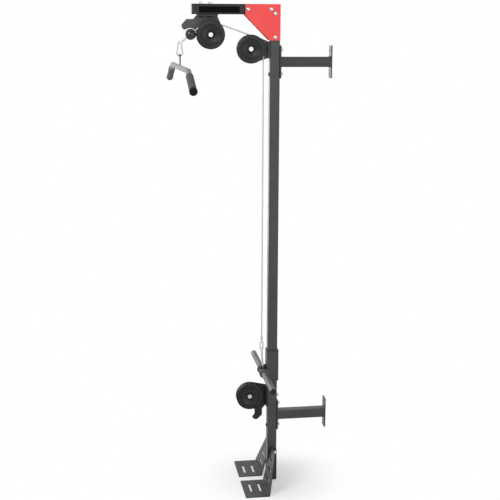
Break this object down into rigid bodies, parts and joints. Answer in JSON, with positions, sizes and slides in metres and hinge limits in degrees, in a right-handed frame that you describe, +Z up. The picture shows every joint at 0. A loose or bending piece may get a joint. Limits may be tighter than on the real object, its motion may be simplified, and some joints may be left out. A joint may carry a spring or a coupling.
{
  "type": "wall-mounted cable pulley machine",
  "caption": "Wall-mounted high pulley station: square post and arm, grooved pulleys, steel cable, sliding weight carriage with loading horns, foot brackets and a wide pull bar",
  "frame": {"origin": "centre of the underside of the post's foot cap, on the floor", "axes": "+Z up the post, -Y out over the user under the arm, +Y to the wall, X along the loading bar"},
  "size_m": [1.1414, 0.6235, 2.0103],
  "materials": {
    "frame_paint": "graphite grey powder coat, fine texture",
    "red_paint": "bright red powder coat",
    "black_plastic": "moulded black nylon",
    "zinc": "zinc-plated steel",
    "cable_cover": "light grey coated steel rope",
    "chrome": "polished",
    "dark_grey_paint": "dark grey powder coat",
    "black_paint": "black powder coat",
    "silver_paint": "silver grey powder coat",
    "rubber": "ribbed grey rubber"
  },
  "bodies": {
    "frame": {"post": "frame_paint", "post_foot_cap": "black_plastic", "top_arm": "frame_paint", "arm_end_cap": "black_plastic", "right_gusset": "red_paint", "left_gusset": "red_paint", "gusset_bolt_1": "zinc", "gusset_bolt_2": "zinc", "gusset_bolt_3": "zinc", "gusset_bolt_4": "zinc", "upper_wall_bracket": "frame_paint", "lower_wall_bracket": "frame_paint", "wall_bracket_bolt_1": "zinc", "wall_bracket_bolt_2": "zinc", "wall_bracket_bolt_3": "zinc", "wall_bracket_bolt_4": "zinc", "front_pulley_bracket": "frame_paint", "mid_pulley_bracket": "frame_paint", "low_pulley_bracket": "frame_paint", "pulley_bracket_bolt_1": "zinc", "pulley_bracket_bolt_2": "zinc", "pulley_bracket_bolt_3": "zinc", "front_spacer": "zinc", "front_axle_bolt": "zinc", "mid_spacer": "zinc", "mid_axle_bolt": "zinc", "low_spacer": "zinc", "low_axle_bolt": "zinc", "cable_over": "cable_cover", "cable_drop": "cable_cover", "right_foot_bracket": "frame_paint", "left_foot_bracket": "frame_paint", "foot_bolt_1": "zinc", "foot_bolt_2": "zinc"},
    "front_wheel": {"front_pulley": "black_plastic", "front_bearing": "zinc"},
    "mid_wheel": {"mid_pulley": "black_plastic", "mid_bearing": "zinc"},
    "low_wheel": {"low_pulley": "black_plastic", "low_bearing": "zinc"},
    "carriage": {"carriage_sleeve": "frame_paint", "upper_liner": "black_plastic", "lower_liner": "black_plastic", "loading_bar": "dark_grey_paint", "right_bar_end_cap": "black_plastic", "left_bar_end_cap": "black_plastic", "carriage_eye_plate": "black_paint", "carriage_carabiner": "chrome", "rear_link": "chrome", "rear_cable_eye": "zinc"},
    "rear_gate": {"carriage_carabiner_gate": "chrome"},
    "cable_end": {"cable_tail": "cable_cover", "ball_stop": "black_plastic", "front_cable_eye": "zinc"},
    "front_hook": {"front_carabiner": "chrome"},
    "front_gate": {"front_carabiner_gate": "chrome"},
    "handle": {"handle_bar": "silver_paint", "right_grip": "rubber", "left_grip": "rubber", "handle_eye_plate": "black_paint"}
  },
  "joints": [
    {"name": "carriage_slide", "type": "slide", "parent": "frame", "child": "carriage", "axis": [0, 0, 1], "range_m": [0, 1.1], "deforming": ["cable_drop"]},
    {"name": "cable_pull", "type": "slide", "parent": "frame", "child": "cable_end", "axis": [0, -0.7804, -0.6252], "range_m": [0, 1.1]},
    {"name": "front_pulley_spin", "type": "hinge", "parent": "frame", "child": "front_wheel", "pos_m": [0, -0.255, 1.8815], "axis": [1, 0, 0], "range_deg": [0, 1261]},
    {"name": "mid_pulley_spin", "type": "hinge", "parent": "frame", "child": "mid_wheel", "pos_m": [0, -0.0945, 1.826], "axis": [1, 0, 0], "range_deg": [0, 1261]},
    {"name": "low_pulley_spin", "type": "hinge", "parent": "frame", "child": "low_wheel", "pos_m": [0, -0.095, 0.3785], "axis": [1, 0, 0], "continuous": true},
    {"name": "hook_swing", "type": "hinge", "parent": "cable_end", "child": "front_hook", "pos_m": [0, -0.3767, 1.8481], "axis": [1, 0, 0], "range_deg": [-30, 30]},
    {"name": "handle_rock", "type": "hinge", "parent": "front_hook", "child": "handle", "pos_m": [0, -0.3767, 1.79935], "axis": [0, 1, 0], "range_deg": [-25, 25]},
    {"name": "front_gate_press", "type": "hinge", "parent": "front_hook", "child": "front_gate", "pos_m": [0, -0.38667, 1.81832], "axis": [-1, 0, 0], "range_deg": [0, 15], "stiffness_Nm_per_rad": 0.02, "springref_deg": -17.19},
    {"name": "rear_gate_press", "type": "hinge", "parent": "carriage", "child": "rear_gate", "pos_m": [0.01008, -0.04015, 0.52956], "axis": [0, -0.9971, -0.0766], "range_deg": [0, 12], "stiffness_Nm_per_rad": 0.02, "springref_deg": -17.19}
  ],
  "couplings": [
    {"joint": "cable_pull", "follows": "carriage_slide", "ratio": 1},
    {"joint": "front_pulley_spin", "follows": "carriage_slide", "rad_per_m": 20},
    {"joint": "mid_pulley_spin", "follows": "carriage_slide", "rad_per_m": 20}
  ]
}
